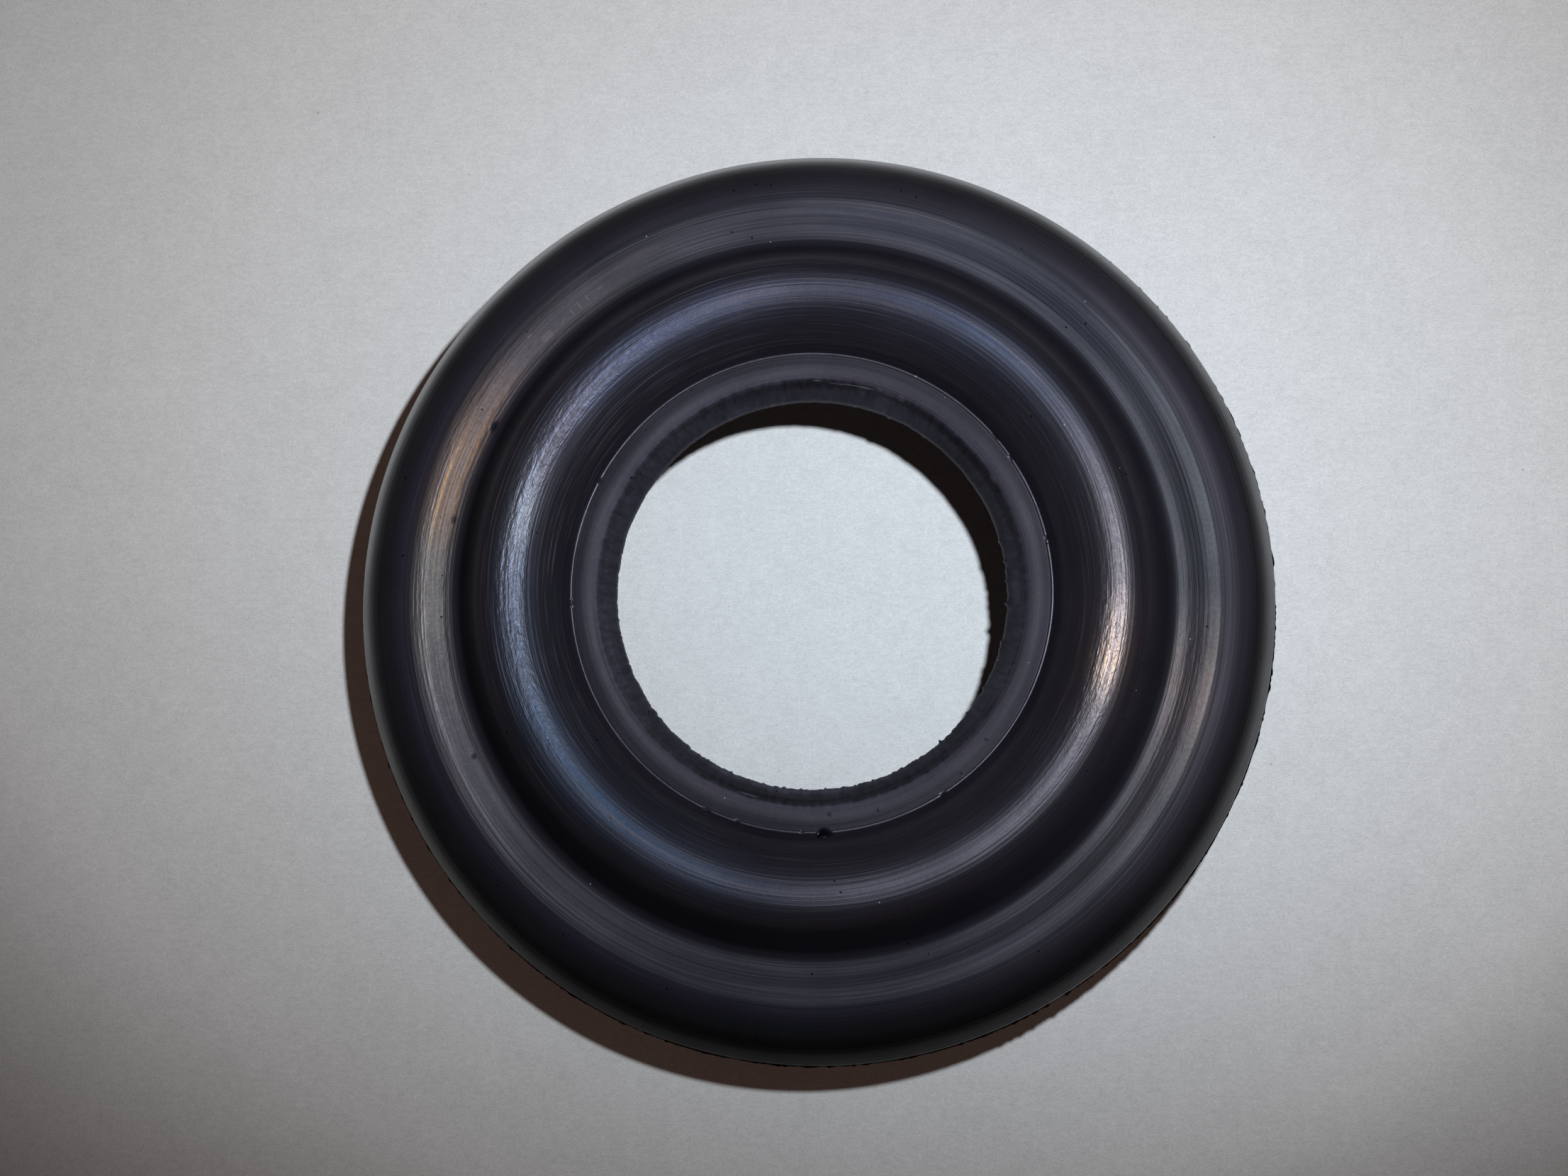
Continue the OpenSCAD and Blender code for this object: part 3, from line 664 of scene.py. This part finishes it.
link(t, b4.outputs[0], b2.inputs["Normal"])
b3 = node(t, "ShaderNodeBump")
b3.inputs["Distance"].default_value = 0.12 * MM
link(t, math_node(t, "MULTIPLY", math_node(t, "ADD", lumps, math_node(t, "MULTIPLY", tears, 0.8)), coarse_at), b3.inputs["Height"])
link(t, b2.outputs[0], b3.inputs["Normal"])
vary = map_range(t, math_node(t, "ADD", math_node(t, "MULTIPLY", streak, 0.6), math_node(t, "MULTIPLY", fine, 0.4)), 0.3, 0.7, -0.035, 0.035)
soft_rough = math_node(t, "ADD", attribute(t, "rough").outputs["Fac"], vary)
sharp_rough = math_node(t, "ADD", vary, 0.30)
link(t, colour, dead.inputs["Base Color"])
dead.inputs["Roughness"].default_value = 1.0
dead.inputs["Specular IOR Level"].default_value = 0.0
link(t, math_node(t, "MULTIPLY", attribute(t, "gloss").outputs["Fac"], math_node(t, "MULTIPLY", map_range(t, cloud, 0.3, 0.7, 0.85, 1.15), math_node(t, "SUBTRACT", 1.0, math_node(t, "MULTIPLY", math_node(t, "MAXIMUM", pits, vent), 0.8))), clamp=True), skin.inputs[0])
tint = mix_color(t, map_range(t, streak, 0.38, 0.60, 0.25, 1.0), (0.60, 0.60, 0.74), attribute(t, "sheen").outputs["Color"])
for p, roughness, aniso in ((soft, soft_rough, 0.0), (sharp, sharp_rough, 0.5)):
    link(t, colour, p.inputs["Base Color"])
    link(t, roughness, p.inputs["Roughness"])
    p.inputs["IOR"].default_value = 1.62
    link(t, tint, p.inputs["Specular Tint"])
    link(t, b3.outputs[0], p.inputs["Normal"])
    if aniso:
        p.inputs["Anisotropic"].default_value = aniso
        p.inputs["Anisotropic Rotation"].default_value = 0.25
        link(t, node(t, "ShaderNodeTangent", direction_type="RADIAL", axis="Z").outputs[0], p.inputs["Tangent"])
link(t, math_node(t, "MULTIPLY", attribute(t, "polish").outputs["Fac"], map_range(t, streak, 0.35, 0.68, 0.15, 1.9), clamp=True), both.inputs[0])
me.materials.append(rubber)
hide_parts("grommet")
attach(body, "root")

# ---------------------------------------------------------------- floor
def plane(name, size, z):
    m = bpy.data.meshes.new(name)
    m.from_pydata([(-size, -size, z), (size, -size, z), (size, size, z), (-size, size, z)], [], [(0, 1, 2, 3)])
    o = bpy.data.objects.new(name, m)
    scene.collection.objects.link(o)
    return o


paper = plane("paper", 3.4, 0.0)
pm = bpy.data.materials.new("paper")
pm.use_nodes = True
t = pm.node_tree
t.nodes.clear()
out = node(t, "ShaderNodeOutputMaterial")
p = node(t, "ShaderNodeBsdfPrincipled")
link(t, p.outputs[0], out.inputs[0])
obj = node(t, "ShaderNodeTexCoord").outputs["Object"]
drawn = node(t, "ShaderNodeVectorMath", operation="MULTIPLY")
link(t, obj, drawn.inputs[0])
drawn.inputs[1].default_value = (0.55, 1.0, 1.0)
grain = noise(t, drawn.outputs[0], 5600.0, 2.0, 0.6)
pulp = noise(t, drawn.outputs[0], 1700.0, 3.0, 0.6)
cloud = noise(t, obj, 330.0, 3.0, 0.6)
wide = noise(t, obj, 60.0, 3.0, 0.5)
shade = 1.0
for field, share in ((grain, 0.56), (pulp, 0.29), (cloud, 0.16), (wide, 0.08)):
    shade = math_node(t, "ADD", math_node(t, "MULTIPLY", math_node(t, "SUBTRACT", field, 0.5), share), shade)
# painted light: the sheet is bluer round the lamp's axis and more neutral further out, the colour of the lamp's beam
# painted into it
near = node(t, "ShaderNodeVectorMath", operation="DISTANCE")
link(t, obj, near.inputs[0])
near.inputs[1].default_value = (0.015, 0.005, 0.0)
lamp_tint_falloff = map_range(t, near.outputs["Value"], 0.015, 0.115, 0.0, 1.0, smooth=True)
sheet = mix_color(t, lamp_tint_falloff, (0.745, 0.815, 0.880), (0.805, 0.837, 0.865))
sheet = mix_color(t, 1.0, sheet, shade, "MULTIPLY")
# painted shade: the sheet is darker towards the far corners, standing in for the fall-off of the lamp's light
painted_corner_shade = node(t, "ShaderNodeVectorMath", operation="DISTANCE")
link(t, obj, painted_corner_shade.inputs[0])
painted_corner_shade.inputs[1].default_value = (0.0, 0.040, 0.0)
sheet = mix_color(t, 1.0, sheet, map_range(t, painted_corner_shade.outputs["Value"], 0.118, 0.152, 1.0, 0.55), "MULTIPLY")


def flecks(scale, size, share):
    """Sparse round flecks in the sheet, 1 inside."""
    n = node(t, "ShaderNodeTexVoronoi", feature="F1")
    n.inputs["Scale"].default_value = scale
    link(t, obj, n.inputs["Vector"])
    first = node(t, "ShaderNodeSeparateColor")
    link(t, n.outputs["Color"], first.inputs[0])
    return math_node(t, "MULTIPLY", map_range(t, n.outputs["Distance"], size * 0.5, size, 1.0, 0.0), math_node(t, "LESS_THAN", first.outputs[0], share))


sheet = mix_color(t, math_node(t, "MULTIPLY", flecks(160.0, 0.035, 0.35), 0.45), sheet, (0.25, 0.24, 0.26))
sheet = mix_color(t, math_node(t, "MULTIPLY", flecks(420.0, 0.09, 0.30), 0.14), sheet, (0.35, 0.34, 0.36))
link(t, sheet, p.inputs["Base Color"])
p.inputs["Roughness"].default_value = 0.9
p.inputs["Specular IOR Level"].default_value = 0.2
paper.data.materials.append(pm)

# Past the patch of sheet that the photograph's view takes in, a bright floor and a bright sky stand in for a studio
# sweep. Only the camera sees them, so they put no light on the rubber.
def only_seen(o):
    o.visible_diffuse = o.visible_glossy = o.visible_transmission = o.visible_shadow = o.visible_volume_scatter = False


sweep = bpy.data.meshes.new("sweep")
ring = 64
pts, quads = [], []
for r in (0.08, 0.12, 0.2, 0.6, 3.4):
    for i in range(ring):
        pts.append((r * math.cos(2 * math.pi * i / ring), r * math.sin(2 * math.pi * i / ring), 0.0002))
for k in range(4):
    for i in range(ring):
        quads.append((k * ring + i, (k + 1) * ring + i, (k + 1) * ring + (i + 1) % ring, k * ring + (i + 1) % ring))
sweep.from_pydata(pts, [], quads)
floor = bpy.data.objects.new("sweep", sweep)
scene.collection.objects.link(floor)
only_seen(floor)
fm = bpy.data.materials.new("sweep")
fm.use_nodes = True
t = fm.node_tree
t.nodes.clear()
out = node(t, "ShaderNodeOutputMaterial")
blend = node(t, "ShaderNodeMixShader")
clear = node(t, "ShaderNodeBsdfTransparent")
shine = node(t, "ShaderNodeEmission")
shine.inputs["Color"].default_value = (0.41, 0.415, 0.425, 1)
link(t, clear.outputs[0], blend.inputs[1])
link(t, shine.outputs[0], blend.inputs[2])
link(t, blend.outputs[0], out.inputs[0])
at = node(t, "ShaderNodeSeparateXYZ")
link(t, node(t, "ShaderNodeTexCoord").outputs["Object"], at.inputs[0])
reach = []
for axis, mid, half in ((0, -0.007, 0.105), (1, 0.007, 0.078)):      # a soft-cornered box just wider than that patch
    d = math_node(t, "DIVIDE", math_node(t, "ABSOLUTE", math_node(t, "SUBTRACT", at.outputs[axis], mid)), half)
    reach.append(math_node(t, "POWER", d, 4.0))
reach = math_node(t, "POWER", math_node(t, "ADD", reach[0], reach[1]), 0.25)
link(t, map_range(t, reach, 1.2, 1.44, 0.0, 1.0, smooth=True), blend.inputs[0])
sweep.materials.append(fm)

sky = bpy.data.meshes.new("sky")
pts, quads = [], []
for lift in range(9):
    up = math.pi / 2 * lift / 8
    for i in range(ring):
        a = 2 * math.pi * i / ring
        pts.append((3.4 * math.cos(a) * math.cos(up), 3.4 * math.sin(a) * math.cos(up), 3.4 * math.sin(up) - 0.002))
for lift in range(8):
    for i in range(ring):
        quads.append((lift * ring + i, (lift + 1) * ring + i, (lift + 1) * ring + (i + 1) % ring, lift * ring + (i + 1) % ring))
sky.from_pydata(pts, [], quads)
sky.polygons.foreach_set("use_smooth", [True] * len(sky.polygons))
dome = bpy.data.objects.new("sky", sky)
scene.collection.objects.link(dome)
only_seen(dome)
dm = bpy.data.materials.new("sky")
dm.use_nodes = True
t = dm.node_tree
t.nodes.clear()
out = node(t, "ShaderNodeOutputMaterial")
shine = node(t, "ShaderNodeEmission")
link(t, shine.outputs[0], out.inputs[0])
high = node(t, "ShaderNodeSeparateXYZ")
link(t, node(t, "ShaderNodeTexCoord").outputs["Object"], high.inputs[0])
link(t, mix_color(t, map_range(t, high.outputs[2], 0.0, 1.6, 0.0, 1.0, smooth=True), (0.415, 0.42, 0.43), (0.56, 0.57, 0.585)), shine.inputs["Color"])
sky.materials.append(dm)

# ---------------------------------------------------------------- light
flash = bpy.data.lights.new("key", "SPOT")
flash.energy = 1.03
flash.shadow_soft_size = 0.003
flash.spot_size = math.radians(121.8)
flash.spot_blend = 1.0
flash.color = (1.0, 1.0, 1.0)
lamp = bpy.data.objects.new("key", flash)
beam = Vector((math.tan(-0.3554), math.tan(0.4257), -1)).normalized()
side = (Vector((1, 0, 0)) - beam * beam.x).normalized()
other = beam.cross(side)
side, other = math.cos(-1.0) * side + math.sin(-1.0) * other, math.cos(-1.0) * other - math.sin(-1.0) * side
turn = Matrix((side, -other, -beam)).transposed().to_4x4()
lamp.matrix_world = Matrix.Translation((0.027, 0.0115, 0.173)) @ turn @ Matrix.Diagonal((1.0, 2.109, 1.0, 1.0))
scene.collection.objects.link(lamp)

world = bpy.data.worlds.new("world")
world.use_nodes = True
wt = world.node_tree
bg = wt.nodes["Background"]
tc = node(wt, "ShaderNodeTexCoord")
sep = node(wt, "ShaderNodeSeparateXYZ")
link(wt, tc.outputs["Generated"], sep.inputs[0])
ramp = map_range(wt, sep.outputs[2], 0.45, 0.85, 1.0, 0.05, smooth=True)
link(wt, mix_color(wt, ramp, (0.0, 0.0, 0.0), (0.130, 0.077, 0.058)), bg.inputs[0])
scene.world = world

# ---------------------------------------------------------------- camera
cam = bpy.data.cameras.new("camera")
cam.sensor_fit = "HORIZONTAL"
cam.sensor_width = 36.0
cam.lens = 33.36
cam.clip_start, cam.clip_end = 0.005, 20.0
camera = bpy.data.objects.new("camera", cam)
camera.location = (0.00555, -0.01826, 0.18464)
camera.rotation_euler = (math.radians(6.4705), math.radians(2.9827), 0.0)
scene.collection.objects.link(camera)
scene.camera = camera
